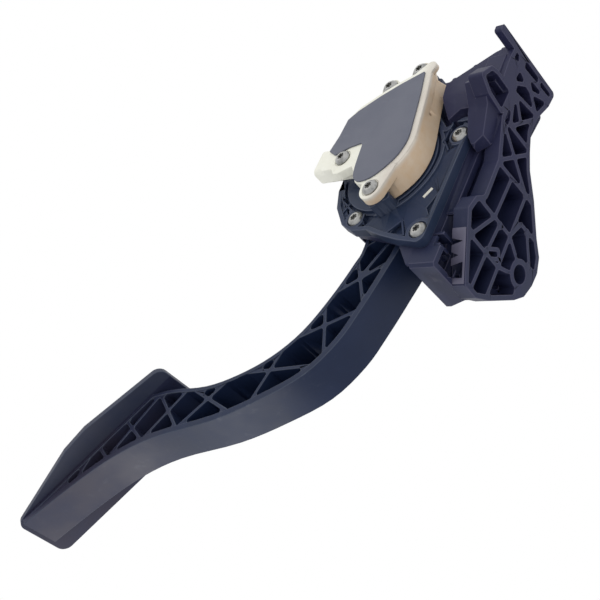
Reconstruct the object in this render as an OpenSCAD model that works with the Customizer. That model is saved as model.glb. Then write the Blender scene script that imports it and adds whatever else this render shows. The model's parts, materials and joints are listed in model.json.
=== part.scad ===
// Hanging accelerator pedal module: a moulded bracket with a lattice mounting
// face, a ribbed side cover, a position sensor on the cover, and a ribbed pedal
// arm moulded in one piece with its pad. Millimetres, +Z up.
// +X points at the bulkhead, so the mounting face is the plane X = 0.
// The origin is the centre of the lower bolt hole on that face.
// Every profile below is drawn about the pivot axis and moved there at the end.

/* [Mounting] */
// Pivot axis to the mounting face
face_to_pivot = 58; // [54:1:62]
// Depth of the lattice plate
plate_depth = 16; // [12:1:18]
// Thickness of the skin behind the lattice pockets
plate_skin = 2.5; // [2:0.5:4]
// Width of the plate's outer rim
rim_w = 2.8; // [2:0.2:4]
// Depth of the rim before it steps in
rim_depth = 9; // [7:0.5:10]
// Step of the rim behind that depth
rim_step = 3; // [2:0.5:4]
// Width of the lattice ribs
lattice_w = 2.2; // [1.6:0.2:3]
// Corner radius of the lattice pockets
lattice_fillet = 1.2; // [0.6:0.2:1.6]
// Bolt hole to the middle plane of the arm
bolt_offset = 33.5; // [31:0.5:36]
// Bolt hole below the pivot axis
bolt_drop = 32; // [30:1:34]
// Diameter of the bolt hole
bolt_hole_d = 10; // [9:0.5:12]
// Wall round the bolt hole
bolt_boss_wall = 6.5; // [5:0.5:8]
// Height of the plate above the pivot axis
plate_top = 66.5; // [64:0.5:68]
// Depth and height of the locating hook at the top
hook_depth = 4.6; // [4:0.2:6]

/* [Housing] */
// Width of the housing over its side walls
housing_w = 35; // [34:0.5:38]
// Thickness of the housing walls
wall_t = 4; // [3:0.5:4.5]
// Depth of the lower cross wall, from the mounting face forward
block_depth = 23; // [21:1:24]
// Depth of the side cover's rim
cover_depth = 5.8; // [5:0.2:7]
// Thickness of the cover's floor
cover_floor = 2.4; // [2:0.2:3]
// Width of the cover's rim
cover_rim = 2.6; // [2:0.2:3.6]

/* [Arm] */
// Thickness of the rear flange
rear_flange_t = 3.8; // [3:0.2:4.6]
// Thickness of the front flange
front_flange_t = 2.2; // [1.8:0.2:3]
// Thickness of the bracing ribs
arm_rib_t = 1.9; // [1.5:0.1:2.6]
// Thickness of the web between the flanges
arm_web_t = 2.6; // [2:0.2:4]
// Middle plane of the arm to the near side of the web
arm_web_at = 6; // [0:0.5:8]
// Fillet between the ribs and the flanges
arm_fillet = 1.6; // [0.8:0.2:2.4]
// How far the bracing ribs stand back from the flange edges
arm_rib_inset = 0.4; // [0.2:0.1:1]

/* [Pad] */
// Length of the pad along its slope
pad_len = 127; // [118:1:132]
// Slope of the pad from the horizontal, degrees
pad_angle = 54; // [52:1:56]
// Thickness of the pad plate
pad_t = 3.2; // [2.6:0.2:4]
// Height of the tread ridges on the foot side
tread_h = 0.9; // [0.5:0.1:1.2]
// Number of tread ridges
tread_count = 7; // [5:1:9]

/* [Pivot] */
// Diameter of the pivot shaft
shaft_d = 10; // [8:0.5:11]
// Radius of the hub drum
hub_r = 17; // [16:0.5:18]
// Radial running clearance of the shaft in its bushes
run_clear = 0.05; // [0.03:0.01:0.08]
// Wall of the bushes
bush_wall = 2.4; // [2:0.2:3]
// Thickness of the thrust washers
washer_t = 1; // [0.8:0.1:1.2]
// Play on each side of the hub, besides the washer
washer_play = 0.5; // [0.3:0.1:0.8]
// Travel of the pedal, degrees
travel = 15; // [13:1:15]

/* [Springs] */
// Wire of the outer return spring
outer_wire = 2.2; // [1.8:0.1:2.6]
// Mean diameter of the outer return spring
outer_coil_d = 15; // [14:0.5:16]
// Wire of the inner return spring
inner_wire = 1.5; // [1.2:0.1:1.7]
// Mean diameter of the inner return spring
inner_coil_d = 9.6; // [9:0.2:10]
// Number of working turns of both springs
spring_turns = 6; // [5:1:7]

/* [Sensor] */
// Gap between the cover's rim and the back of the sensor
sensor_gap = 1.2; // [1:0.1:1.6]
// Depth of the sensor housing
sensor_depth = 13.6; // [13:0.2:15]
// Thickness of the sensor's walls
sensor_wall = 2; // [1.6:0.2:2.6]
// Thickness of the sensor's lugs
lug_t = 5.6; // [5:0.2:6.4]
// Radius of the sensor's lugs
lug_r = 7; // [6.4:0.2:7.4]
// Thickness of the lid above the housing's edge
lid_t = 0.9; // [0.6:0.1:1.4]

/* [Screws] */
// Diameter of the cover and sensor screw heads
head_d = 9; // [8:0.5:9.5]
// Height of the screw heads
head_h = 2.6; // [2.2:0.2:3.2]
// Shank diameter of the screws
shank_d = 4; // [3.4:0.2:4.4]

/* [Hidden] */
$fn = 48;
eps = 0.01;
fit = 0.04;      // between pieces that are pressed or screwed together
clear = 0.3;     // between pieces that only lie beside each other

near_y = -housing_w / 2;                 // near face of the housing
far_y = housing_w / 2;                   // far face of the housing
cover_y = near_y - cover_depth;          // front of the cover's rim
sensor_back = cover_y - sensor_gap;      // back of the sensor
sensor_front = sensor_back - sensor_depth;
lug_back = sensor_front + lug_t;
upper_lug_y = sensor_front + 6;          // front of the two upper lugs
screw_seat = [sensor_front + 0.6, sensor_front + 0.6, upper_lug_y + 0.4, upper_lug_y + 0.4];
plug_back = sensor_front + 9.5;          // back of the sensor's plug side
tower_y = [lug_back, plug_back, sensor_back, sensor_back];
tower_r = [5.4, 4.6, 5.2, 5.2];
washer_gap = washer_t + washer_play;      // wall to hub, on each side
hub_w = housing_w - 2 * (wall_t + washer_gap);   // also the arm's width
shaft_r = shaft_d / 2;
bush_r = shaft_r + run_clear + bush_wall;
boss_r = bolt_hole_d / 2 + bolt_boss_wall;
bolt_at = [bolt_offset, -bolt_drop];
black = [0.10, 0.10, 0.14];
cream = [0.83, 0.79, 0.68];
steel = [0.70, 0.70, 0.70];

// Screw places in the side view, about the pivot axis
cover_screw_at = [[-10, -32.5], [37.5, -44], [38, 15.5], [-27, 30]];
sensor_screw_at = [[9.5, -26.5], [-22.5, -2.5], [-19, 52], [-1, 60]];

// Side view of the housing's wall, clockwise from the front lower corner
housing_pts = [
    [-32, -11], [-27, -23], [-16, -35], [-10, -38.5], [14, -44], [34, -50],
    [42.5, -50], [42.5, 20], [48, 63], [-20, 63], [-34, 46], [-35, 4]
];

// Outline of the lattice plate in the view from the bulkhead: [y, z]
plate_pts = [
    [-30, plate_top], [9.5, plate_top], [8.5, 57], [4, 45], [3.5, 35], [8, 26], [13, 18],
    [24, 7], [36, -8], [43, -15], [45.8, -23], [45.3, -31], [42.5, -39.5], [36.5, -45.5],
    [20, -57], [10, -62], [0, -61.5], [-17.5, -28.5], [-15.5, -20], [-10.5, -16], [-11, 6],
    [-20, 26], [-21, 41], [-29.5, 42], [-30.5, 56]
];

// Ribs of the lattice, each from one [y, z] to another
lattice_ribs = [
    [[-11, 5], [16, 5.2]], [[16, 5.2], [26, 4.5]], [[-11, -19.5], [18, -20.5]],
    [[-11, -38.5], [18, -39.2]], [[2.8, 5], [1.7, -21]], [[17, 5], [16.7, -61]],
    [[5.4, -39], [4.5, -62]], [[-11, 5.3], [8, 24.5]], [[-16, 24], [17, 5]],
    [[-14, 26.6], [9, 26.6]], [[-8.8, -38.1], [1.7, -20]], [[7, -20], [5.4, -39]],
    [[21, -9.8], [36, -9.8]], [[16.7, -20.4], [21.3, -9.8]], [[27, -10], [37.4, -23]],
    [[16.5, -20.4], [26, -26.1]], [[17, -39.1], [25, -36.4]],
    [[-11.6, 26.6], [0.8, 41.4]], [[-14.5, 41.5], [-6, 33.5]], [[-18.5, 43.5], [-12, 26.6]],
    [[-16, 43.5], [4.5, 46.2]], [[-7.1, 52], [2.2, 45.8]], [[-22.5, 46], [-12.5, 53.4]],
    [[-12.5, 53.2], [-7.8, 52.7]], [[-7.8, 52.7], [8, 59.5]], [[-21.3, 56.3], [-23.2, 44]],
    [[-21.3, 57], [-12.3, 54]], [[-15.2, 59], [-7.6, 53.2]], [[-19.2, 59], [-20.8, 66]],
    [[-6.6, 66], [-3.8, 60.4]], [[-21.5, 58.4], [8, 60.4]], [[-26, 66], [-21.3, 56.5]],
    [[-24.5, 58], [-24.5, 41]]
];

// Curve through a list of points, with k steps for each span
function spline_pt(a, b, c, d, t) =
    0.5 * ((2 * b) + (c - a) * t + (2 * a - 5 * b + 4 * c - d) * t * t
    + (3 * b - a - 3 * c + d) * t * t * t);
function curve(p, k = 4) = [
    for (i = [0 : len(p) - 2], j = [0 : k - 1])
        spline_pt(p[max(i - 1, 0)], p[i], p[i + 1], p[min(i + 2, len(p) - 1)], j / k),
    p[len(p) - 1]
];
function reversed(p) = [for (i = [len(p) - 1 : -1 : 0]) p[i]];

// Lower end of the pad's back face, and the directions along and across it
pad_tip = [-190, -227.5];
pad_dir = [cos(pad_angle), sin(pad_angle)];
pad_out = [-sin(pad_angle), cos(pad_angle)];
pad_top = pad_tip + pad_len * pad_dir;

// Side view of the arm: the rear flange from the hub down to the pad's tip
rear_pts = [
    [hub_r + 1, -10], [18.5, -42], [15.5, -60], [10.5, -82], [4.5, -101], [-9, -120],
    [-33, -135.5], [-62, -149.5], [-104, -163], [-131, -177.5], [-155, -197.5],
    [-183, -226]
];
// and the front flange from the hub down to the pad's top
front_pts = [
    [-14, -4], [-7.5, -42], [-9, -54], [-15, -74], [-24.5, -94.5], [-39, -110],
    [-58, -121.5], [-80, -129.5], [-108, -133], [-124, -137]
];

// Bracing ribs of the arm, each from one [x, z] to another
arm_ribs = [
    [[-9, -43], [4, -35]], [[0, -60], [10, -38]], [[-9, -49], [8, -76]],
    [[-15, -72], [13, -54]], [[-17, -78], [-2, -108]], [[-26, -98], [8, -82]],
    [[-32, -101], [-40, -138]], [[-54, -120], [-6, -114]], [[-64, -124], [-89, -156]],
    [[-92, -131], [-50, -144]], [[-94, -131], [-116, -168]], [[-118, -136], [-88, -156]],
    [[-117, -136], [-137, -178]], [[-142, -152], [-112, -166]], [[-152, -170], [-156, -195]],
    [[-153, -171], [-134, -180]], [[-170, -197], [-174, -216]], [[-170, -197], [-155, -198]]
];

// Moves a piece drawn about the pivot axis to its place in the part's frame
module placed() {
    translate([-face_to_pivot, -bolt_offset, bolt_drop]) children();
}

// Extrudes a side view, [x, z], between two values of y
module side(y0, y1) {
    translate([0, y1, 0]) rotate([90, 0, 0]) linear_extrude(y1 - y0) children();
}

// Extrudes a rear view, [y, z], between two values of x
module rear(x0, x1) {
    translate([x0, 0, 0]) rotate([90, 0, 90]) linear_extrude(x1 - x0) children();
}

// Round bar along y
module rod(r, y0, y1) {
    translate([0, y1, 0]) rotate([90, 0, 0]) cylinder(r = r, h = y1 - y0);
}

// Straight strip between two points of a flat view
module strip(a, b, w) {
    d = b - a;
    translate(a) rotate(atan2(d[1], d[0])) translate([0, -w / 2]) square([norm(d), w]);
}

module rounded(r) {
    offset(r) offset(-r) children();
}

module filleted(r) {
    offset(-r) offset(r) children();
}

// Mounting bracket

module housing_outline() {
    rounded(5) polygon(housing_pts);
}

module plate_outline() {
    filleted(4) rounded(2.5) polygon(plate_pts);
}

// Solid parts of the lattice: ribs, the bolt boss and the small pillars
module lattice_lines() {
    for (r = lattice_ribs) strip(r[0], r[1], lattice_w);
    translate(bolt_at) circle(bolt_hole_d / 2 + 3);
    intersection() {
        translate(bolt_at) circle(boss_r + 3);
        translate(bolt_at) rotate(-52) square([40, 22], center = true);
        translate(bolt_at + [20, -6]) circle(20);
    }
    translate([-20.5, 46]) circle(2.6);
    for (p = [[7.4, -21], [27.6, -10.5], [16.6, 4.6], [-9.4, -37.6]]) translate(p) circle(2.2);
}

// Pockets of the lattice, cut from behind the mounting face
module lattice_pockets() {
    x1 = face_to_pivot;
    rear(x1 - rim_depth, x1 + 1) rounded(lattice_fillet) difference() {
        offset(-rim_w) plate_outline();
        lattice_lines();
    }
    rear(x1 - plate_depth + plate_skin, x1 - rim_depth + eps) rounded(lattice_fillet) difference() {
        offset(-rim_w - rim_step) plate_outline();
        lattice_lines();
    }
}

module lattice_plate() {
    x1 = face_to_pivot;
    rear(x1 - rim_depth, x1) plate_outline();
    rear(x1 - plate_depth, x1 - rim_depth + eps) offset(-rim_step) plate_outline();
}

// Socket beside the top of the plate, a hook above it and the wall that joins them
socket_pts = [[-44, 33], [-39.5, 42], [-34, 43.5], [-19.5, 43], [-20, 26.5], [-34, 28.2]];
module socket_outline() {
    rounded(2) polygon(socket_pts);
}

module top_fixings() {
    x1 = face_to_pivot;
    rear(x1 - rim_depth, x1) difference() {
        socket_outline();
        rounded(1.5) offset(-2.4) socket_outline();
    }
    rear(x1 - rim_depth, x1 - rim_depth + 1.5) socket_outline();
    rear(x1 - hook_depth, x1) translate([-43.5, plate_top - hook_depth])
        rounded(1.5) square([20, hook_depth]);
    rear(44, x1 - 3) polygon([
        [-31, 40], [-31, 58], [-28, plate_top - 3], [-21, plate_top - 3], [-21, 40]
    ]);
}

// Flared part of the housing's near side, up beside the sensor, and the web
// from the corner of the cover up to the socket
module flared_wall() {
    intersection() {
        side(-40, near_y + 2) polygon([
            [20.5, 47], [22.5, 36], [28, 25], [35, 29.5], [46, 29.5], [46, 39],
            [50, 39], [50, plate_top - 2], [46, plate_top - 3.5]
        ]);
        rear(0, 60) polygon([
            [near_y + 2, 70], [-30, 70], [-30, 38], [-24, 22], [near_y, 8], [near_y + 2, 8]
        ]);
    }
    intersection() {
        side(-45, near_y + 3) polygon([
            [42, 16], [46, 9], [53, 13], [55, 24], [57, 34], [50, 40], [46, 40]
        ]);
        rear(40, 60) polygon([
            [near_y + 3, 8], [near_y - 3, 10], [-30, 26], [-40, 33], [-36, 40], [near_y + 3, 40]
        ]);
    }
    for (p = [[23.5, 50.5], [34.5, 57]]) translate([p[0], -27, p[1]]) sphere(2.2, $fn = 20);
}

// Cable hook in the lattice, level with the mounting face
module cable_hook() {
    rear(face_to_pivot - 5, face_to_pivot) translate([9.5, -36.5]) rotate(32) difference() {
        rounded(2.5) square([13, 7], center = true);
        rounded(1) square([8.6, 2.6], center = true);
        translate([-5, -4]) square([4, 4]);
    }
}

// Side wall of the plate's cut lower corner, seen along it: a channel in front of
// it, a window low down and two wedge-shaped notches
module corner_frame() {
    a = [-17.5, -28.5];
    b = [0, -61.5];
    d = b - a;
    translate([face_to_pivot - rim_depth, a[0], a[1]]) rotate([atan2(d[1], d[0]), 0, 0]) children();
}

module corner_cuts() {
    corner_frame() {
        translate([-6, 2, -8]) cube([6, 33.5, 15]);
        translate([0, 0, -4]) linear_extrude(8) {
            rounded(0.8) polygon([[1, 27.5], [rim_depth - 1.6, 25.5], [rim_depth - 1.6, 33.5], [1, 33.5]]);
            polygon([[-1, 14.5], [rim_depth - 2, 16], [-1, 17.6]]);
            polygon([[-1, 21.4], [rim_depth - 4.5, 22.8], [-1, 24]]);
        }
    }
}

// Thin ribs in the channel, from the cross wall's corner to the plate
module corner_ribs() {
    for (z = [-43, -49.5]) translate([face_to_pivot - block_depth + 6, near_y + 0.6, z])
        cube([block_depth - 6 - rim_depth - 0.3, 8, 1.6]);
}

module mounting_bracket() {
    x1 = face_to_pivot;
    bx = x1 - block_depth;
    color(black) placed() difference() {
        union() {
            difference() {
                union() {
                    lattice_plate();
                    // webs from the housing back to the plate
                    side(near_y + 4, near_y + 4 + wall_t)
                        polygon([[40, -48], [46, -30], [46, 24], [40, 60]]);
                    side(far_y - wall_t, far_y)
                        polygon([[40, -58], [50, -58], [50, 10], [43, 24], [40, 60]]);
                    // cross wall that the pedal stops against
                    intersection() {
                        rear(bx, x1 - 7.5) polygon([
                            [near_y, -50], [near_y, -60], [near_y + 1.5, -61.5], [far_y, -61.5], [far_y, -46]
                        ]);
                        translate([0, 0, -70]) linear_extrude(30) polygon([
                            [bx, near_y], [x1, near_y], [x1, 9], [x1 - 20, far_y], [bx, far_y]
                        ]);
                    }
                    rear(x1 - 7.5 - eps, x1 - 1) polygon([[0, -61.5], [10, -61.5], [10, -50], [6, -50]]);
                }
                lattice_pockets();
                corner_cuts();
                // pocket behind the cross wall, beside the cut corner
                translate([bx + 6, near_y + 3, -58.5]) cube([14, 13, 14]);
            }
            top_fixings();
            difference() {
                flared_wall();
                // the cover, its screws and the inside of the socket stay clear
                side(cover_y - 20, near_y) offset(clear) cover_outline();
                for (p = cover_screw_at) translate([p[0], 0, p[1]])
                    rod(head_d / 2 + 0.8, cover_y - 20, near_y);
                rear(x1 - rim_depth + 1.5, x1 + 1) rounded(1.5) offset(-2.4) socket_outline();
            }
            cable_hook();
            corner_ribs();
            // near and far walls, and the wall round them
            side(near_y, near_y + wall_t) housing_outline();
            side(far_y - wall_t, far_y) housing_outline();
            side(near_y, far_y) difference() {
                housing_outline();
                offset(-wall_t) housing_outline();
            }
            // bosses for the cover screws
            for (p = cover_screw_at) side(near_y, near_y + wall_t)
                translate(p) circle(shank_d / 2 + 2.2);
            // spring guide below the top wall
            translate([spring_x, 0, spring_top - eps])
                cylinder(r = inner_coil_d / 2 - inner_wire / 2 - clear, h = 4);
            translate([spring_x, 0, spring_top + 3])
                cylinder(r = outer_coil_d / 2 + 1.5, h = 63 - wall_t - spring_top);
            // pocket for the friction shoe
            shoe_pocket();
        }
        // opening below for the arm
        side(near_y + wall_t, far_y - wall_t) polygon([
            [-11.5, -60], [-11.5, -30], [2, -30], [26, -34], [bx, -44], [bx, -60]
        ]);
        // room for the hub and the arm between the walls
        side(near_y + wall_t, far_y - wall_t) intersection() {
            offset(-wall_t) housing_outline();
            difference() {
                square([300, 300], center = true);
                translate([spring_x - 12, spring_top]) square([24, 20]);
                translate([-20, -40]) square([8.5, 11]);
                shoe_pocket_outline();
            }
        }
        rod(bush_r + fit, near_y - 1, near_y + wall_t + 1);
        rod(bush_r + fit, far_y - wall_t - 1, far_y + 1);
        for (p = cover_screw_at) translate([p[0], 0, p[1]])
            rod(shank_d / 2 + fit, near_y - 1, near_y + wall_t + 1);
        translate([0, bolt_at[0], bolt_at[1]]) rotate([0, 90, 0]) cylinder(d = bolt_hole_d, h = x1 + 10);
    }
}

// Housing cover

cover_pts = [
    [-33, -12], [-28, -24], [-18, -36], [-9, -40.5], [2, -41], [14, -45.5], [26, -49],
    [43, -52], [43, 27], [36, 27], [27, 22], [17, 33], [8, 61], [-20, 61], [-33, 46], [-34, 5]
];

module cover_outline() {
    rounded(4) polygon(cover_pts);
}

// Weight-saving pockets in the cover, each [x, z]
cover_pockets = [
    [[-27, -17], [-17, -19], [-17, -30]], [[18.5, -43.5], [24, -36], [30, -45.5]],
    [[36, -30], [40.5, -19], [40.5, -36]], [[28.5, 12], [31, 25], [38, 24], [35, 7]],
    [[-2, -37], [-8, -27], [6, -29]]
];

// Block beside the tower of the lower lug
module tower_block() {
    translate(sensor_screw_at[0]) rotate(-60) rounded(1.5) square([10, 12], center = true);
}

ring_r = 27;
seal_r = 15.5;
module housing_cover() {
    color(black) placed() difference() {
        union() {
            side(cover_y, near_y) cover_outline();
            // towers under the sensor's lugs
            difference() {
                union() {
                    for (k = [0 : 3]) side(tower_y[k] + 0.05, near_y)
                        translate(sensor_screw_at[k]) circle(tower_r[k]);
                    side(lug_back + 1.5, near_y) tower_block();
                }
                side(sensor_front, sensor_back + 0.04) offset(clear) lobe_outline();
            }
        }
        // raised rim, pockets and the stepped ring under the sensor
        side(cover_y - eps, cover_y + 1.2) difference() {
            offset(-cover_rim) cover_outline();
            circle(ring_r + 5.5);
            for (p = cover_screw_at) translate(p) circle(head_d / 2 + 2.6);
            for (k = [0 : 3]) translate(sensor_screw_at[k]) circle(tower_r[k]);
            tower_block();
        }
        side(cover_y - eps, near_y - cover_floor) {
            difference() {
                for (q = cover_pockets) rounded(0.6) polygon(q);
                for (p = cover_screw_at) translate(p) circle(head_d / 2 + 1.6);
                circle(ring_r + 3);
            }
            difference() {
                circle(seal_r - 2.6);
                circle(bush_r + 4);
            }
        }
        // groove round the foot of the sensor
        side(cover_y - eps, cover_y + 2) difference() {
            circle(ring_r + 3.4);
            circle(ring_r + 1.6);
            for (k = [0 : 3]) translate(sensor_screw_at[k]) circle(tower_r[k] + 1.5);
            translate([-40, -6]) square([40, 50]);
        }
        rod(shaft_r + 1.5, near_y - 20, near_y + 1);
        rod(bush_r + 2.2, near_y - 1.3, near_y + 1);
        // groove of the seal
        difference() {
            rod(seal_r + 1.1, cover_y - 1, cover_y + 1.4);
            rod(seal_r - 1.1, cover_y - 2, cover_y + 2);
        }
        for (p = cover_screw_at) translate([p[0], 0, p[1]]) {
            rod(shank_d / 2 + 0.2, cover_y - 1, near_y + 1);
            rod(head_d / 2 + 0.6, cover_y - 12, cover_y + 1.4);
        }
        for (p = sensor_screw_at) translate([p[0], 0, p[1]])
            rod(shank_d / 2 + fit, cover_y - 20, near_y - 1);
    }
}

// Screws

module screw(length) {
    difference() {
        union() {
            rotate_extrude() polygon([
                [0, 0], [head_d / 2, 0], [head_d / 2, 0.9], [head_d / 2 - 0.5, 1.8],
                [head_d / 2 - 1.6, head_h], [0, head_h]
            ]);
            translate([0, 0, -length]) cylinder(d = shank_d, h = length + eps);
        }
        translate([0, 0, head_h - 1.6]) linear_extrude(3)
            for (a = [0, 60, 120]) rotate(a) square([4, 1.3], center = true);
    }
}

module screw_at(p, y, length) {
    translate([p[0], y, p[1]]) rotate([90, 0, 0]) screw(length);
}

module cover_screws() {
    color(steel) placed() for (p = cover_screw_at) screw_at(p, cover_y + 1.4, cover_depth + wall_t - 2.4);
}

module sensor_screws() {
    color(steel) placed() for (k = [0 : 3]) screw_at(sensor_screw_at[k], screw_seat[k], lug_t + 5);
}

// Pedal arm with its pad

module arm_outline() {
    polygon(concat(curve(rear_pts), [pad_tip + 5 * pad_dir], reversed(curve(front_pts))));
}

// The arm's side view with the region in front of the pad added to it
module arm_and_front() {
    arm_outline();
    polygon([pad_tip, pad_top, pad_top + 12 * pad_out, pad_tip + 12 * pad_out]);
}

module arm_rear_band() {
    behind = concat(curve(rear_pts), [[-240, -200], [-120, 0]]);
    intersection() {
        arm_outline();
        difference() {
            polygon(behind);
            offset(-rear_flange_t) polygon(behind);
        }
    }
}

module arm_flanges() {
    difference() {
        arm_outline();
        offset(-front_flange_t) arm_and_front();
    }
    arm_rear_band();
}

module pad_outline() {
    rounded(6) polygon([
        [-11, 0], [25.5, 0], [25, pad_len], [-21, pad_len], [-26.5, 72], [-25, 54]
    ]);
}

// Brings the pad's flat outline, [y, along], to its slope; z is out of the back face
module on_pad() {
    translate([pad_tip[0], 0, pad_tip[1]]) rotate([0, -pad_angle, 0]) rotate([0, 0, -90])
        mirror([1, 0, 0]) children();
}

module pedal_pad() {
    on_pad() {
        translate([0, 0, -clear]) linear_extrude(pad_t + clear) pad_outline();
        for (k = [1 : tread_count]) intersection() {
            translate([-60, k * pad_len / (tread_count + 1) - 2, pad_t - eps]) cube([120, 4, tread_h]);
            linear_extrude(pad_t + 5) offset(-4) pad_outline();
        }
    }
}

module pedal_arm() {
    color(black) placed() difference() {
        union() {
            side(-hub_w / 2, hub_w / 2) {
                arm_flanges();
                difference() {
                    circle(hub_r);
                    circle(hub_r - 3);
                }
                circle(shaft_r + 3.5);
            }
            side(-hub_w / 2 + arm_rib_inset, hub_w / 2 - arm_rib_inset) {
                intersection() {
                    arm_outline();
                    filleted(arm_fillet) {
                        arm_flanges();
                        for (r = arm_ribs) strip(r[0], r[1], arm_rib_t);
                        translate(pad_tip + 2 * pad_dir) rotate(pad_angle) square([pad_len, 1]);
                    }
                }
                difference() {
                    for (a = [20 : 60 : 320]) rotate(a) translate([0, -0.9]) square([hub_r - 1, 1.8]);
                    circle(shaft_r + 2);
                }
                lever_outline();
            }
            side(arm_web_at, arm_web_at + arm_web_t) {
                arm_outline();
                circle(hub_r - 1);
            }
            pedal_pad();
        }
        rod(shaft_r + fit, -hub_w / 2 - 1, hub_w / 2 + 1);
    }
}

// Lever on the hub that pushes the springs
spring_x = 26;
lever_z = 8;
module lever_outline() {
    polygon([[8, lever_z], [spring_x + 8, lever_z], [spring_x + 8, lever_z - 4], [hub_r - 3, -8], [8, -8]]);
}

// Pivot

module pivot_shaft() {
    color(steel) placed() difference() {
        union() {
            rod(shaft_r, sensor_back - 3, far_y + 3);
            rod(shaft_r - 1.5, sensor_back - 5.6, sensor_back - 3 + eps);
        }
        difference() {
            rod(shaft_r + 1, far_y + 1, far_y + 2.1);
            rod(shaft_r - 0.8, far_y, far_y + 3);
        }
    }
}

module bush(y_out, y_in) {
    // y_out: outer end of the sleeve; the flange lies outside the wall
    s = sign(y_in - y_out);
    lo = min(y_out, y_in);
    hi = max(y_out, y_in);
    difference() {
        union() {
            rod(bush_r, lo, hi);
            rod(bush_r + 1.8, min(y_out, y_out - s), max(y_out, y_out - s));
        }
        rod(shaft_r + run_clear, lo - 3, hi + 3);
    }
}

module near_bush() {
    color([0.25, 0.25, 0.27]) placed() bush(near_y - 0.02, near_y + wall_t);
}

module far_bush() {
    color([0.25, 0.25, 0.27]) placed() difference() {
        union() {
            rod(bush_r, far_y - wall_t, far_y);
            rod(bush_r + 1.8, far_y + 0.02, far_y + 0.9);
            rod(bush_r, far_y - eps, far_y + 0.1);
        }
        rod(shaft_r + run_clear, far_y - wall_t - 3, far_y + 3);
    }
}

module thrust_washers() {
    color([0.85, 0.85, 0.82]) placed() for (s = [-1, 1]) difference() {
        y = s * (hub_w / 2 + washer_gap / 2);
        rod(bush_r + 2, y - washer_t / 2, y + washer_t / 2);
        rod(shaft_r + 0.3, y - 2, y + 2);
    }
}

module shaft_clip() {
    color(steel) placed() side(far_y + 1.05, far_y + 2.05) difference() {
        circle(shaft_r + 2.4);
        circle(shaft_r - 0.75);
        translate([0, -shaft_r - 1]) square([shaft_r, 2 * shaft_r], center = true);
    }
}

// Return springs: each is a wire swept up a helix with closed end turns

spring_bottom = lever_z + 3.4;
spring_top = 46;
function coil_z(t, turns, h, wire) =
    let (u = t / turns)
    u < 0.12 ? wire * t : u > 0.88 ? h - wire * (turns - t)
    : wire * 0.12 * turns + (h - 2 * wire * 0.12 * turns) * (u - 0.12) / 0.76;
module coil_spring(r, wire, turns, z0, z1) {
    sides = 6;
    steps = 18;
    n = turns * steps;
    h = z1 - z0 - wire;
    pts = [for (i = [0 : n], k = [0 : sides - 1])
        let (a = 360 * i / steps, b = 360 * k / sides, q = r + wire / 2 * cos(b))
        [q * cos(a), q * sin(a), coil_z(i / steps, turns, h, wire) + wire / 2 * sin(b)]];
    walls = [for (i = [0 : n - 1], k = [0 : sides - 1])
        [i * sides + k, i * sides + (k + 1) % sides, (i + 1) * sides + (k + 1) % sides, (i + 1) * sides + k]];
    ends = [[for (k = [sides - 1 : -1 : 0]) k], [for (k = [0 : sides - 1]) n * sides + k]];
    translate([0, 0, z0 + wire / 2]) polyhedron(pts, concat(ends, walls), convexity = 10);
}

module outer_return_spring() {
    color(steel) placed() translate([spring_x, 0, 0])
        coil_spring(outer_coil_d / 2, outer_wire, spring_turns, spring_bottom, spring_top + 3);
}

module inner_return_spring() {
    color(steel) placed() translate([spring_x, 0, 0])
        coil_spring(inner_coil_d / 2, inner_wire, spring_turns + 2, spring_bottom, spring_top + 3);
}

module spring_seat() {
    color([0.80, 0.80, 0.76]) placed() translate([spring_x, 0, lever_z + 0.05]) {
        cylinder(r = outer_coil_d / 2 + 1.2, h = spring_bottom - lever_z - 0.4);
        cylinder(r = inner_coil_d / 2 - inner_wire / 2 - clear, h = 7);
    }
}

// Friction shoe that rides on the hub drum

shoe_a = [150, 200];
module shoe_sector(r0, r1, grow = 0) {
    difference() {
        intersection() {
            circle(r1 + grow);
            polygon([[0, 0], 60 * [cos(shoe_a[0] - 2 * grow), sin(shoe_a[0] - 2 * grow)],
                60 * [cos(shoe_a[1] + 2 * grow), sin(shoe_a[1] + 2 * grow)]]);
        }
        circle(r0);
    }
}

module shoe_pocket_outline() {
    difference() {
        shoe_sector(hub_r + 4, 60, 3);
        shoe_sector(hub_r, hub_r + 6 + fit, fit);
    }
}

module shoe_pocket() {
    side(near_y, far_y) intersection() {
        housing_outline();
        shoe_pocket_outline();
    }
}

module friction_shoe() {
    color([0.45, 0.36, 0.26]) placed() side(-hub_w / 2, hub_w / 2) shoe_sector(hub_r + clear, hub_r + 6);
}

// Rubber stops

module idle_bumper() {
    color([0.06, 0.06, 0.06]) placed() translate([-11.5 + 0.02, 0, -34]) rotate([0, 90, 0])
        cylinder(d1 = 7, d2 = 6, h = 2.2);
}

// The rear flange touches the stop here; its place at full travel sets the stop's height
stop_at = [16.3, -56.4];
stop_x = stop_at[0] * cos(travel) - stop_at[1] * sin(travel);
module full_travel_bumper() {
    bx = face_to_pivot - block_depth;
    h = bx - stop_x - 2 * clear;
    color([0.06, 0.06, 0.06]) placed() translate([bx - h, 0, -54]) rotate([0, 90, 0])
        cylinder(d1 = 9, d2 = 11, h = h - 0.02);
}

// Sensor

sensor_right = [
    [15.5, 52], [21.5, 28], [26.5, 9.5], [27.8, -1], [25.5, -12], [18, -21.5], [10, -25],
    [3, -23.5]
];
sensor_pts = concat([[-36, 8.5], [-33, 17], [-33, 28], [-27.5, 35.2], [-13, 43.8], [8, 56]],
    curve(sensor_right), [[-4, -21.5], [-9.5, -13], [-12.5, -9.5], [-21, -13], [-24.5, -13],
    [-27.5, -9.5], [-37, -9.5]]);

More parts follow.
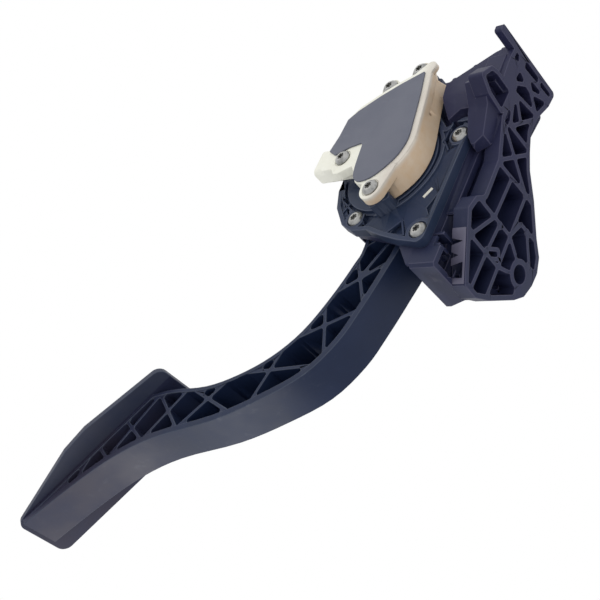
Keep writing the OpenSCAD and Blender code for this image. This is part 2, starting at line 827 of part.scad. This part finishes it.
// Main lobe of the sensor, without the plug's side
lobe_pts = concat([[-34, 12], [-33, 28], [-27.5, 35.2], [-13, 43.8], [8, 56]],
    curve(sensor_right, 3), [[-5, -21.5], [-11, -11], [-14, 4], [-28, 6]]);
lobe_mid = [-4, 14];

// Lobe with its side wall drawn in towards the front
module lobe_outline() {
    rounded(3) polygon(lobe_pts);
}

module lobe_body() {
    translate([lobe_mid[0], sensor_back, lobe_mid[1]]) rotate([90, 0, 0])
        linear_extrude(sensor_depth - 0.6, scale = 0.91) translate(-lobe_mid) lobe_outline();
    // flange that covers the seal
    rod(seal_r + 1.8, sensor_back - 2, sensor_back);
}

module sensor_outline() {
    rounded(3) polygon(sensor_pts);
}

// Front face of the sensor: the lid's edge and a border round it
module sensor_front_outline() {
    intersection() {
        sensor_outline();
        union() {
            offset(3.6) lid_outline();
            polygon([[-37, 8.5], [-37, -19], [-11, -17], [-4, -21], [0, 0], [-12, 8]]);
        }
    }
}

module lug_arm(p, q, r) {
    hull() {
        translate(p) circle(r);
        translate(q) circle(r + 3);
    }
}

// Rounded socket for the plug, pointing forward
shroud_c = [-1, sensor_front + 6.1];
shroud_size = [17, 10.6];
module shroud_outline() {
    translate([shroud_c[1], shroud_c[0]]) rounded(3) square([shroud_size[1], shroud_size[0]], center = true);
}

lid_pts = concat(
    curve([[11, 50.5], [15.5, 33], [19.5, 13.5], [21.3, 3], [20, -5], [16.5, -11.5], [9.5, -18.5],
        [4, -21.3], [-2, -21.5], [-6.5, -17.5], [-9, -9], [-11, 4]], 3),
    [[-12.5, 5.5], [-20, 4], [-29, 0], [-35, 3.5], [-33, 14], [-32.5, 25.5], [-27, 31],
    [-15, 38.5], [-3.5, 44.5]]);
module lid_outline() {
    rounded(0.8) polygon(lid_pts);
}

module sensor_housing() {
    color(cream) placed() difference() {
        union() {
            side(sensor_front, lug_back) rounded(2) {
                sensor_front_outline();
                lug_arm(sensor_screw_at[0], [10, -12], lug_r);
            }
            side(sensor_front, sensor_front + 3.4) rounded(2) {
                sensor_front_outline();
                lug_arm([12, 54], [4, 42], 4);
            }
            lobe_body();
            side(lug_back - eps, plug_back) intersection() {
                sensor_outline();
                translate([-60, -9.5]) square([50, 19.5]);
            }
            // lugs of the two upper screws, behind the front border
            for (k = [2, 3]) side(upper_lug_y, sensor_back)
                lug_arm(sensor_screw_at[k], sensor_screw_at[k] + [4, -12], lug_r - 1.4);
            rear(-42.7, -27.4) shroud_outline();
        }
        // room under the lid for the board and the rotor
        side(sensor_front + 1.2, sensor_back - sensor_wall) offset(-sensor_wall - 0.4) lid_outline();
        side(sensor_front - 1, sensor_front + 1.2 + eps) offset(-1.6) lid_outline();
        rear(-44, -29) offset(-1.8) shroud_outline();
        rod(shaft_r + 2.2, sensor_front + 4, sensor_back + 1);
        for (i = [-2.5 : 1 : 2.5]) pin(i, -30, 4, fit);
        // recess round each screw head, and its hole
        for (k = [0 : 3]) translate([sensor_screw_at[k][0], 0, sensor_screw_at[k][1]]) {
            rod(head_d / 2 + 0.5, sensor_front - 1, screw_seat[k]);
            rod(shank_d / 2 + 0.2, sensor_front - 1, sensor_back + 1);
        }
    }
    // pillars that carry the circuit board
    color(cream) placed() for (p = [[-24, 20], [0, 37], [12, 25]]) translate([p[0], 0, p[1]])
        rod(1.8, board_y + 1.62, sensor_back - sensor_wall + eps);
}

module sensor_lid() {
    color([0.27, 0.28, 0.33]) placed() {
        side(sensor_front - lid_t, sensor_front - 0.02) lid_outline();
        side(sensor_front - lid_t, sensor_front + 1) offset(-2) lid_outline();
    }
}

module sensor_seal() {
    color([0.1, 0.1, 0.1]) placed() difference() {
        rod(seal_r + 0.9, sensor_back + 0.02, cover_y + 1.38);
        rod(seal_r - 0.9, sensor_back - 1, cover_y + 2);
    }
}

rotor_y = sensor_back - sensor_wall - 0.6;
module sensor_rotor() {
    color([0.9, 0.88, 0.8]) placed() difference() {
        union() {
            rod(7.2, rotor_y - 2.2, rotor_y);
            side(rotor_y - 2.2, rotor_y) intersection() {
                circle(15);
                polygon([[0, 0], 30 * [cos(25), sin(25)], 30 * [cos(60), sin(60)], 30 * [cos(95), sin(95)]]);
            }
            rod(shaft_r + 1.8, rotor_y - 3.2, sensor_back + 0.6);
        }
        rod(shaft_r + fit, sensor_back - 3 - fit, sensor_back + 1);
        rod(shaft_r - 1.5 + fit, sensor_back - 9, sensor_back);
    }
}

module wiper_contacts() {
    color([0.80, 0.65, 0.30]) placed() for (a = [42, 78]) rotate([0, -a, 0])
        translate([8, rotor_y - 3.2, -1.5]) difference() {
            cube([6, 1 - 0.02, 3]);
            translate([2, -1, -1]) cube([5, 3, 1.4]);
        }
}

board_y = rotor_y - 5.2;
module circuit_board() {
    color([0.10, 0.35, 0.20]) placed() side(board_y, board_y + 1.6) difference() {
        offset(-sensor_wall - 0.5) lid_outline();
        // cut back from the connector's pins
        translate([-45, -12]) square([19.4, 18.6]);
    }
}

module pin(i, x, length, grow = 0) {
    w = 0.8 + 2 * grow;
    translate([x, shroud_c[1] - w / 2, shroud_c[0] - w / 2 + 2.4 * i]) cube([length, w, w]);
}

module connector_pins() {
    color([0.80, 0.65, 0.30]) placed() for (i = [-2.5 : 1 : 2.5]) pin(i, -37, 10.9);
}

mounting_bracket();
housing_cover();
cover_screws();
pedal_arm();
pivot_shaft();
near_bush();
far_bush();
thrust_washers();
shaft_clip();
spring_seat();
outer_return_spring();
inner_return_spring();
friction_shoe();
idle_bumper();
full_travel_bumper();
sensor_housing();
sensor_lid();
sensor_screws();
sensor_seal();
sensor_rotor();
wiper_contacts();
circuit_board();
connector_pins();
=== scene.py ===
import json

import bmesh
import bpy
from mathutils import Matrix, Vector
from mathutils.bvhtree import BVHTree


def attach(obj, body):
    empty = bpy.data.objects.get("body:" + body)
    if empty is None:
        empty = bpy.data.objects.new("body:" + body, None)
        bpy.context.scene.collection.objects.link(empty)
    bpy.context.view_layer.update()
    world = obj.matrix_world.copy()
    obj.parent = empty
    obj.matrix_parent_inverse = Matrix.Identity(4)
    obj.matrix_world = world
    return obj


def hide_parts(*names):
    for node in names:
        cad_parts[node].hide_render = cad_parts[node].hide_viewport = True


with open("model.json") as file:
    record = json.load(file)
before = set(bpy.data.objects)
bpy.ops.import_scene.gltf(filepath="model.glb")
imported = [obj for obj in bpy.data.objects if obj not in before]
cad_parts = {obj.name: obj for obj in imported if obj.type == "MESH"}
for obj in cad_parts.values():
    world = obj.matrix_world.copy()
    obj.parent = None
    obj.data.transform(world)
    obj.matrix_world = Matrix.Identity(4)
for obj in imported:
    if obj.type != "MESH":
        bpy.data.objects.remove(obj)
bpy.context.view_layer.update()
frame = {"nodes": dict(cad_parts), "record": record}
nodes = frame["nodes"]
mm = 0.001

# the pivot axis of the pedal, in metres; places below are given from it in mm
pivot = Vector((-58, -33.5, 32)) * mm


# camera, on the photograph's side: below, behind and on the sensor's side

view = {
    "place": (0.2973, -0.3431, -0.2532),
    "right": (0.67972, 0.61838, 0.39444),
    "up": (0.02339, -0.55578, 0.83100),
    "back": (0.73309, -0.55562, -0.39224),
    "lens": 60.95,
}

camera = bpy.data.objects.new("camera", bpy.data.cameras.new("camera"))
bpy.context.scene.collection.objects.link(camera)
camera.data.lens = view["lens"]
camera.data.sensor_width = 36
camera.data.clip_start = 0.01
camera.data.clip_end = 20
turn = Matrix((view["right"], view["up"], view["back"])).transposed().to_4x4()
camera.matrix_world = Matrix.Translation(view["place"]) @ turn
bpy.context.scene.camera = camera
print("camera set")


# Shader maths: a socket with the usual signs, and one way to add a node

class Sock:
    def __init__(self, mat, socket):
        self.mat = mat
        self.socket = socket

    def math(self, kind, other):
        return self.mat.add("ShaderNodeMath", {"operation": kind}, {0: self, 1: other})

    def __add__(self, other):
        return self.math("ADD", other)

    def __sub__(self, other):
        return self.math("SUBTRACT", other)

    def __mul__(self, other):
        return self.math("MULTIPLY", other)

    def __rsub__(self, other):
        return self.mat.add("ShaderNodeMath", {"operation": "SUBTRACT"}, {0: other, 1: self})

    __radd__ = __add__
    __rmul__ = __mul__

    def clamp(self):
        return self.mat.add("ShaderNodeClamp", {}, {"Value": self})

    def ramp(self, low, high):
        # 0 at low, 1 at high, smooth between
        return self.mat.add("ShaderNodeMapRange", {"interpolation_type": "SMOOTHSTEP"},
                            {"Value": self, "From Min": low, "From Max": high})


class Finish:
    def __init__(self, name):
        self.material = bpy.data.materials.new(name)
        self.material.use_nodes = True
        self.tree = self.material.node_tree
        self.shader = self.tree.nodes["Principled BSDF"]
        coords = self.tree.nodes.new("ShaderNodeTexCoord")
        self.place = Sock(self, coords.outputs["Object"])

    def add(self, kind, settings=None, inputs=None, output=0):
        node = self.tree.nodes.new(kind)
        for key, value in (settings or {}).items():
            setattr(node, key, value)
        for key, value in (inputs or {}).items():
            self.feed(node.inputs[key], value)
        return Sock(self, node.outputs[output])

    def feed(self, socket, value):
        if isinstance(value, Sock):
            self.tree.links.new(value.socket, socket)
        elif isinstance(value, (tuple, list)) and len(value) == 3 and socket.type == "RGBA":
            socket.default_value = (*value, 1)
        else:
            socket.default_value = value

    def noise(self, scale, detail=3, roughness=0.5, stretch=None):
        where = self.place
        if stretch:
            where = self.add("ShaderNodeMapping", {}, {"Vector": self.place, "Scale": stretch})
        return self.add("ShaderNodeTexNoise", {"noise_dimensions": "3D"},
                        {"Vector": where, "Scale": scale, "Detail": detail, "Roughness": roughness})

    def mix(self, amount, low, high):
        return self.add("ShaderNodeMix", {"data_type": "RGBA"},
                        {"Factor": amount, 6: low, 7: high}, output=2)

    def axis(self, name):
        return self.add("ShaderNodeSeparateXYZ", {}, {"Vector": self.place}, output="XYZ".index(name))

    def near(self, point, inner, outer):
        # 1 close to a point given from the pivot in mm, 0 beyond the outer radius
        spot = pivot + Vector(point) * mm
        gap = self.add("ShaderNodeVectorMath", {"operation": "DISTANCE"},
                       {0: self.place, 1: tuple(spot)}, output=1)
        return 1 - gap.ramp(inner * mm, outer * mm)

    def past(self, name, start, width):
        # 0 before a place along an axis, given from the pivot in mm, 1 beyond it
        zero = pivot["XYZ".index(name)]
        return self.axis(name).ramp(zero + start * mm, zero + (start + width) * mm)

    def bump(self, height, strength, distance):
        return self.add("ShaderNodeBump", {},
                        {"Height": height, "Strength": strength, "Distance": distance * mm})

    def set(self, **values):
        for key, value in values.items():
            self.feed(self.shader.inputs[key.replace("_", " ")], value)


def mouldedBlack(name, tones, rough, gloss=0.2):
    # glass-filled nylon: fine grain, faint flow clouds, scuffs, rounded edges lightened as a painted
    # highlight with some scuff wear, a tint that changes along it
    skin = Finish(name)
    cloud = skin.noise(38, 4, 0.55).ramp(0.35, 0.7)
    grain = skin.noise(2600, 2, 0.6)
    speck = skin.noise(900, 3, 0.7).ramp(0.62, 0.74)
    scuff = skin.noise(170, 5, 0.7, (1, 1, 0.35)).ramp(0.56, 0.72)
    drift = skin.past(*tones["from"])
    colour = skin.mix(drift, tones["far"], tones["base"])
    if "pocketShade" in tones:
        # painted shade: the lattice's pockets darker towards their floors
        low, high = tones["pockets"]
        depth = skin.past("X", low, 3) * (1 - skin.past("X", high, 8)) * skin.past("Y", -14, 5)
        colour = skin.mix(depth * 0.85, colour, tones["pocketShade"])
    if "face" in tones:
        # painted highlight: the ribs' fronts lightened as if they catch more light
        place, amount = tones["face"]
        near = 1 - skin.past("Y", place, 0.8)
        colour = skin.mix(near * amount, colour, tones["wearAndHighlight"])
    colour = skin.mix(cloud * 0.35, colour, [c * 1.5 for c in tones["base"]])
    colour = skin.mix(scuff * 0.2 + speck * 0.15, colour, tones["worn"])
    # painted highlight: the rounded faces lightened, partly scuff wear
    edge = skin.add("ShaderNodeAttribute", {"attribute_name": "edge"}, {}, output=2)
    colour = skin.mix(edge * (0.55 + scuff * 0.4), colour, tones["wearAndHighlight"])
    skin.set(Base_Color=colour, Roughness=rough + cloud * 0.08 - scuff * 0.06,
             Specular_IOR_Level=gloss, Normal=skin.bump(grain + scuff * 0.4, 0.2, 0.05))
    return skin.material


bracketTones = {
    "base": (0.019, 0.020, 0.054), "far": (0.018, 0.023, 0.056), "from": ("Z", -30, 60),
    "worn": (0.048, 0.048, 0.09), "wearAndHighlight": (0.080, 0.078, 0.13),
    "pocketShade": (0.006, 0.009, 0.034), "pockets": (38, 49),
}
coverTones = {
    "base": (0.019, 0.026, 0.060), "far": (0.017, 0.028, 0.060), "from": ("Z", -20, 60),
    "worn": (0.042, 0.052, 0.085), "wearAndHighlight": (0.10, 0.115, 0.16), "face": (-23.2, 0.2),
}
armTones = {
    "base": (0.010, 0.018, 0.048), "far": (0.031, 0.029, 0.052), "from": ("X", -150, 70),
    "worn": (0.040, 0.048, 0.08), "wearAndHighlight": (0.07, 0.085, 0.12), "face": (-13.4, 0.4),
}
blackMould = {
    "bracket": mouldedBlack("bracketNylon", bracketTones, 0.48, 0.22),
    "cover": mouldedBlack("coverNylon", coverTones, 0.46, 0.2),
    "arm": mouldedBlack("armNylon", armTones, 0.38, 0.2),
}


ivory = {
    "pale": (0.86, 0.85, 0.75),
    "cloudy": (0.80, 0.78, 0.66),
    "border": (0.62, 0.56, 0.49),     # duller rim on the bracket's side
    "heated": (0.60, 0.43, 0.27),     # the side wall, yellowed by heat
    "brown": (0.16, 0.09, 0.05),      # small burn on that wall
    "burnAt": (21, -31.7, 24.7),
}


def ivoryShell():
    skin = Finish("ivoryShell")
    cloud = skin.noise(60, 4, 0.6).ramp(0.35, 0.7)
    blotch = skin.noise(150, 5, 0.65)
    grain = skin.noise(2200, 2, 0.5)
    side = skin.past("Y", -37.9, 3) * skin.past("X", -4, 14)
    rim = skin.past("X", 4, 14)
    colour = skin.mix(cloud * 0.5, ivory["pale"], ivory["cloudy"])
    colour = skin.mix((rim * (0.5 + blotch * 0.7)).clamp(), colour, ivory["border"])
    colour = skin.mix((side * (0.45 + blotch * 0.7)).clamp(), colour, ivory["heated"])
    burn = (skin.near(ivory["burnAt"], 0.4, 1.5) * blotch.ramp(0.3, 0.5)).clamp()
    colour = skin.mix(burn * 0.85, colour, ivory["brown"])
    skin.set(Base_Color=colour, Roughness=0.42 + cloud * 0.12, Specular_IOR_Level=0.4,
             Normal=skin.bump(grain + blotch * 0.5, 0.15, 0.05))
    return skin.material


def lidPlate():
    skin = Finish("lidPlate")
    cloud = skin.noise(45, 3, 0.5).ramp(0.35, 0.7)
    grain = skin.noise(3000, 2, 0.6)
    scuff = skin.noise(120, 5, 0.7, (0.4, 1, 1)).ramp(0.57, 0.75)
    colour = skin.mix(cloud, (0.100, 0.108, 0.146), (0.125, 0.132, 0.168))
    colour = skin.mix(scuff * 0.3, colour, (0.18, 0.19, 0.215))
    skin.set(Base_Color=colour, Roughness=0.5 + cloud * 0.06, Specular_IOR_Level=0.4,
             Normal=skin.bump(grain, 0.2, 0.04))
    return skin.material


def platedSteel(name, colour, rough, dull):
    skin = Finish(name)
    brushed = skin.noise(900, 4, 0.6, (1, 0.2, 1))
    patch = skin.noise(260, 4, 0.6).ramp(0.4, 0.7)
    tone = skin.mix(patch * dull, colour, [c * 0.45 for c in colour])
    skin.set(Base_Color=tone, Metallic=1.0, Roughness=rough + patch * 0.15,
             Normal=skin.bump(brushed, 0.1, 0.03))
    return skin.material


def plainMould(name, colour, rough=0.5, change=0.25):
    skin = Finish(name)
    cloud = skin.noise(80, 3, 0.5).ramp(0.3, 0.7)
    grain = skin.noise(2000, 2, 0.5)
    skin.set(Base_Color=skin.mix(cloud, colour, [c * (1 - change) for c in colour]),
             Roughness=rough + cloud * 0.08, Normal=skin.bump(grain, 0.15, 0.04))
    return skin.material


steel = platedSteel("screwSteel", (0.42, 0.42, 0.41), 0.36, 0.7)
finishes = {
    "mounting_bracket": blackMould["bracket"],
    "housing_cover": blackMould["cover"],
    "pedal_arm": blackMould["arm"],
    "sensor_housing": ivoryShell(),
    "sensor_lid": lidPlate(),
    "cover_screws": steel,
    "sensor_screws": steel,
    "pivot_shaft": platedSteel("shaftSteel", (0.56, 0.56, 0.56), 0.24, 0.3),
    "shaft_clip": platedSteel("clipSteel", (0.36, 0.35, 0.34), 0.32, 0.4),
    "outer_return_spring": platedSteel("springWire", (0.42, 0.42, 0.43), 0.3, 0.4),
    "near_bush": plainMould("bushPlastic", (0.05, 0.05, 0.055)),
    "thrust_washers": plainMould("acetal", (0.72, 0.70, 0.62), 0.4, 0.1),
    "friction_shoe": plainMould("shoeLining", (0.20, 0.14, 0.09), 0.7),
    "idle_bumper": plainMould("stopRubber", (0.018, 0.018, 0.018), 0.65),
    "circuit_board": plainMould("boardMask", (0.03, 0.14, 0.06), 0.35),
    "wiper_contacts": platedSteel("contactBronze", (0.72, 0.53, 0.26), 0.3, 0.3),
}
sameAs = {
    "inner_return_spring": "outer_return_spring", "far_bush": "near_bush",
    "spring_seat": "thrust_washers", "sensor_rotor": "thrust_washers",
    "full_travel_bumper": "idle_bumper", "sensor_seal": "idle_bumper",
    "connector_pins": "wiper_contacts",
}


def dress(piece, material):
    piece.data.materials.clear()
    piece.data.materials.append(material)


for name, piece in nodes.items():
    dress(piece, finishes[sameAs.get(name, name)])
print("materials made")


# The moulded shells again with their edges rounded, as moulding leaves them

def only(piece):
    bpy.ops.object.select_all(action="DESELECT")
    piece.select_set(True)
    bpy.context.view_layer.objects.active = piece


def bodyOf(name):
    for body, names in frame["record"]["behaviour"]["bodies"].items():
        if name in names:
            return body


def copyOf(name, newName):
    piece = bpy.data.objects.new(newName, nodes[name].data.copy())
    piece.data.name = newName
    bpy.context.scene.collection.objects.link(piece)
    only(piece)
    bpy.ops.object.mode_set(mode="EDIT")
    bpy.ops.mesh.select_all(action="SELECT")
    bpy.ops.mesh.remove_doubles(threshold=0.00001)
    bpy.ops.object.mode_set(mode="OBJECT")
    return piece


def markEdges(piece, least):
    # bevel weight on the sharp outward edges
    net = bmesh.new()
    net.from_mesh(piece.data)
    layers = net.edges.layers.float
    weights = layers.get("bevel_weight_edge") or layers.new("bevel_weight_edge")
    for edge in net.edges:
        if len(edge.link_faces) != 2 or not edge.is_convex:
            continue
        if edge.calc_face_angle(0) < least:
            continue
        edge[weights] = 1
    net.to_mesh(piece.data)
    net.free()


# distances as shares of the bevel's width, apart from reach, which is in mm
clean = {
    "strayed": 0.6,        # a corner further off the solid than this goes back on it
    "touching": 0.3,       # a face this close to the solid can be judged by its direction
    "folded": -0.5,        # it is folded over if it faces the solid's side by less than this
    "offSolid": 0.8,       # a face further off the solid than this is an overshoot
    "reach": (0.01, 0.03, 0.06, 0.06),
}


def facing(face):
    # turns a new face the way its neighbours run round their shared edges
    face.normal_update()
    against = sum(not edge.is_contiguous for edge in face.edges if len(edge.link_faces) == 2)
    if against > len(face.edges) / 2:
        face.normal_flip()


def closeGaps(net):
    # each pass joins corners that now meet and spans what is still open. A few folded slivers
    # and three small gaps stay. Lists, and not sets, keep every run alike.
    # the edge layer marks the rounded faces, which the material lightens as a painted highlight with some
    # wear; filled faces get none
    worn = net.faces.layers.float["edge"]
    for reach in clean["reach"]:
        net.faces.index_update()
        crowded = [edge for edge in net.edges if len(edge.link_faces) > 2]
        spare = []
        for edge in crowded:
            least = min(edge.link_faces, key=lambda face: (face.calc_area(), face.index))
            if least not in spare:
                spare.append(least)
        bmesh.ops.delete(net, geom=spare, context="FACES")
        bmesh.ops.delete(net, geom=[edge for edge in net.edges if edge.is_wire], context="EDGES")
        bmesh.ops.remove_doubles(net, verts=[v for v in net.verts if v.is_boundary], dist=reach * mm)
        rims = [edge for edge in net.edges if edge.is_boundary]
        filled = bmesh.ops.holes_fill(net, edges=rims)["faces"]
        for face in filled:
            face[worn] = 0
            facing(face)
        bmesh.ops.triangulate(net, faces=filled)
    rims = [edge for edge in net.edges if edge.is_boundary]
    if rims:
        spans = bmesh.ops.triangle_fill(net, use_beauty=True, edges=rims)["geom"]
        for face in spans:
            if isinstance(face, bmesh.types.BMFace):
                facing(face)


def settle(piece, name, width):
    # corners that the bevel pushed off the part go back on it, and faces it folded over go
    net = bmesh.new()
    net.from_mesh(nodes[name].data)
    part = BVHTree.FromBMesh(net)
    net.free()
    net = bmesh.new()
    net.from_mesh(piece.data)
    for corner in net.verts:
        place, _, _, gap = part.find_nearest(corner.co)
        if gap > clean["strayed"] * width * mm:
            corner.co = place
    net.normal_update()
    folded = []
    for face in net.faces:
        middle = face.calc_center_median()
        place, normal, _, gap = part.find_nearest(middle)
        touching = gap < clean["touching"] * width * mm
        flipped = touching and face.normal.dot(normal) < clean["folded"]
        middles = [middle] + [(e.verts[0].co + e.verts[1].co) / 2 for e in face.edges]
        off = max(part.find_nearest(m)[3] for m in middles) > clean["offSolid"] * width * mm
        if flipped or off:
            folded.append(face)
    bmesh.ops.delete(net, geom=folded, context="FACES")
    closeGaps(net)
    net.to_mesh(piece.data)
    net.free()


def roundedCopy(name, newName, width, segments=3, least=0.6):
    piece = copyOf(name, newName)
    markEdges(piece, least)
    bevel = piece.modifiers.new("edges", "BEVEL")
    bevel.width = width * mm
    bevel.segments = segments
    bevel.limit_method = "WEIGHT"
    bevel.use_clamp_overlap = False
    bevel.material = 1                         # marks the rounded faces
    dress(piece, nodes[name].data.materials[0])
    piece.data.materials.append(nodes[name].data.materials[0])
    bpy.ops.object.modifier_apply(modifier="edges")
    edge = piece.data.attributes.new("edge", "FLOAT", "FACE")
    for face in piece.data.polygons:
        edge.data[face.index].value = face.material_index
        face.material_index = 0
    settle(piece, name, width)
    bpy.ops.object.shade_smooth_by_angle(angle=0.65)
    normals = piece.modifiers.new("normals", "WEIGHTED_NORMAL")
    normals.keep_sharp = True
    bpy.ops.object.modifier_apply(modifier="normals")
    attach(piece, bodyOf(name))
    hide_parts(name)
    dress(piece, nodes[name].data.materials[0])
    print(newName, "faces", len(piece.data.polygons))
    return piece


edges = {
    "mounting_bracket": ("bracketShell", 0.35),
    "housing_cover": ("coverShell", 0.35),
    "pedal_arm": ("armShell", 0.35),
    "sensor_housing": ("sensorShell", 0.5),
    "sensor_lid": ("lidShell", 0.25),
}
for name, (newName, width) in edges.items():
    roundedCopy(name, newName, width)


# Small details that the shells are too plain for, each a cut sheet standing on its carrier

def sheetOf(name, corners, depth, carrier, edge=0.15):
    # corners and depth in mm from the pivot; the sheet rides with its carrier
    bpy.ops.object.select_all(action="DESELECT")
    bpy.ops.mesh.primitive_circle_add(vertices=len(corners), radius=0.01, fill_type="NGON")
    piece = bpy.context.object
    piece.name = piece.data.name = name
    for corner, place in zip(piece.data.vertices, corners):
        corner.co = pivot + Vector(place) * mm
    only(piece)
    bpy.ops.object.mode_set(mode="EDIT")
    bpy.ops.mesh.select_all(action="SELECT")
    bpy.ops.mesh.extrude_region_move(TRANSFORM_OT_translate={"value": Vector(depth) * mm})
    bpy.ops.mesh.select_all(action="SELECT")
    bpy.ops.mesh.normals_make_consistent(inside=False)
    bpy.ops.object.mode_set(mode="OBJECT")
    bevel = piece.modifiers.new("edges", "BEVEL")
    bevel.width = edge * mm
    bevel.segments = 2
    bpy.ops.object.modifier_apply(modifier="edges")
    bpy.ops.object.shade_smooth_by_angle(angle=0.65)
    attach(piece, bodyOf(carrier))
    dress(piece, nodes[carrier].data.materials[0])
    return piece


def strip(start, end, width):
    # corners of a straight strip in the x-z plane at one y: (x, y, z) to (x, y, z)
    a, b = Vector(start), Vector(end)
    side = (b - a).cross(Vector((0, 1, 0))).normalized() * width / 2
    return [a - side, b - side, b + side, a + side]


def joined(pieces, name):
    only(pieces[0])
    for piece in pieces[1:]:
        piece.select_set(True)
    bpy.ops.object.join()
    pieces[0].name = pieces[0].data.name = name
    return pieces[0]


# painted light: a pale sheet on the plate's cut corner wall, notched, with a window low down, stands for
# a lit patch on a wall in shade
comb = {
    "start": (49, -17.5, -28.5), "along": (0, 0.4685, -0.8835), "outward": (0, -0.8835, -0.4685),
    "thick": 0.4,
    "outline": [
        (0.2, 9.5), (8.4, 9.5), (8.4, 36.6), (0.2, 36.6),
        (0.2, 33.8), (7.2, 33.8), (7.2, 26.0), (0.2, 27.8),
        (0.2, 24.2), (4.6, 22.8), (0.2, 21.2), (0.2, 17.8), (6.8, 16.0), (0.2, 14.4),
    ],
}


def combCorner(across, down):
    place = Vector(comb["start"]) + Vector((across, 0, 0)) + Vector(comb["along"]) * down
    return place + Vector(comb["outward"]) * 0.05


combLitSheet = sheetOf("combLitSheet", [combCorner(*p) for p in comb["outline"]],
                   Vector(comb["outward"]) * comb["thick"], "mounting_bracket", 0.1)
# its pale colour is painted light on that shaded wall
dress(combLitSheet, plainMould("combPaintedLight", (0.115, 0.110, 0.165), 0.5, 0.2))

# these close openings that the source leaves and the photo doesn't show
patches = {
    # skin that closes the foot of the corner channel
    "cornerSkin": ([(42.5, -13, -61.45), (49.5, -13, -61.45), (49.5, -2, -61.45), (42.5, -2, -61.45)],
                   (0, 0, 1.3)),
    # floor of the lowest lattice pocket
    "pocketFloor": ([(49, 26, -49.4), (49, 26, -44.5), (49, 35.5, -40.5), (49, 35.5, -45)], (-1.2, 0, 0)),
    # web between the near wall and the stop block
    "stopWeb": ([(22, -17.45, -44), (46, -17.45, -44), (46, -17.45, -60.3), (33.2, -17.45, -60.3),
                 (24.5, -17.45, -49.8)], (0, 1.8, 0)),
}
webs = [sheetOf(name, corners, depth, "mounting_bracket") for name, (corners, depth) in patches.items()]
bracketWebs = joined(webs, "bracketWebs")

# thin ribs on the cover's foot, and the pale tab that shows beside the sensor's ring
coverRibLines = [
    ((-28.5, -22.9, -17.2), (-17.5, -22.9, -25.5), 1.2), ((-18, -22.9, -18.5), (-22.5, -22.9, -28), 1.2),
    ((29.6, -22.9, 26), (29, -22.9, 13), 1.0), ((29, -22.9, 13), (34.5, -22.9, 6), 1.0),
    ((15.5, -22.9, -45), (24, -22.9, -37), 1.0), ((24, -22.9, -37), (29.5, -22.9, -46.5), 1.0),
]
ribs = [sheetOf("rib%d" % i, strip(a, b, width), (0, 2, 0), "housing_cover", 0.2)
        for i, (a, b, width) in enumerate(coverRibLines)]
coverRibs = joined(ribs, "coverRibs")

paleTab = sheetOf("paleTab", strip((31.2, -22.5, -23.1), (34.6, -22.5, -17.8), 1.8), (0, 0.5, 0),
                  "housing_cover", 0.1)
dress(paleTab, finishes["thrust_washers"])
print("details made")


# light: a pale world as in a light tent, a large weak lamp in front and a small one low down

def softLamp(name, place, target, size, power, colour):
    lamp = bpy.data.objects.new(name, bpy.data.lights.new(name, "AREA"))
    bpy.context.scene.collection.objects.link(lamp)
    lamp.data.size = size
    lamp.data.energy = power
    lamp.data.color = colour
    lamp.location = place
    aim = Vector(target) - Vector(place)
    lamp.rotation_euler = aim.to_track_quat("-Z", "Y").to_euler()


lamps = {
    "keyLamp": {"place": (-0.5, -1.47, 0.53), "target": (-0.12, -0.03, -0.05), "size": 1.1,
                "power": 2.6, "colour": (1.0, 0.99, 0.97)},
    "lowLamp": {"place": (-0.25, 0.25, -0.54), "target": (-0.19, -0.03, -0.14), "size": 0.2,
                "power": 0.6, "colour": (1, 1, 1)},
}
for name, values in lamps.items():
    softLamp(name, **values)

world = bpy.data.worlds.new("studio")
world.use_nodes = True
bpy.context.scene.world = world
links = world.node_tree.links
background = world.node_tree.nodes["Background"]
background.inputs["Color"].default_value = (0.97, 0.98, 1.0, 1)
background.inputs["Strength"].default_value = 1.0
white = world.node_tree.nodes.new("ShaderNodeBackground")      # what the camera, metal and glass see
white.inputs["Color"].default_value = (1, 1, 1, 1)
white.inputs["Strength"].default_value = 1.0
rays = world.node_tree.nodes.new("ShaderNodeLightPath")
choose = world.node_tree.nodes.new("ShaderNodeMixShader")
seen = rays.outputs["Is Camera Ray"]
for name in ("Is Glossy Ray", "Is Transmission Ray"):
    both = world.node_tree.nodes.new("ShaderNodeMath")
    both.operation = "MAXIMUM"
    links.new(seen, both.inputs[0])
    links.new(rays.outputs[name], both.inputs[1])
    seen = both.outputs[0]
links.new(seen, choose.inputs["Fac"])
links.new(background.outputs["Background"], choose.inputs[1])
links.new(white.outputs["Background"], choose.inputs[2])
links.new(choose.outputs["Shader"], world.node_tree.nodes["World Output"].inputs["Surface"])

ground = {"size": 8, "z": -0.62, "colour": (0.8, 0.8, 0.8), "rough": 0.9}
bpy.ops.object.select_all(action="DESELECT")
bpy.ops.mesh.primitive_plane_add(size=ground["size"], location=(0, 0, ground["z"]))
floor = bpy.context.object
floor.name = "floor"
paleFloor = Finish("paleFloor")
paleFloor.set(Base_Color=ground["colour"], Roughness=ground["rough"])
dress(floor, paleFloor.material)

bpy.context.scene.view_settings.view_transform = "Standard"
print("lamps and floor set")
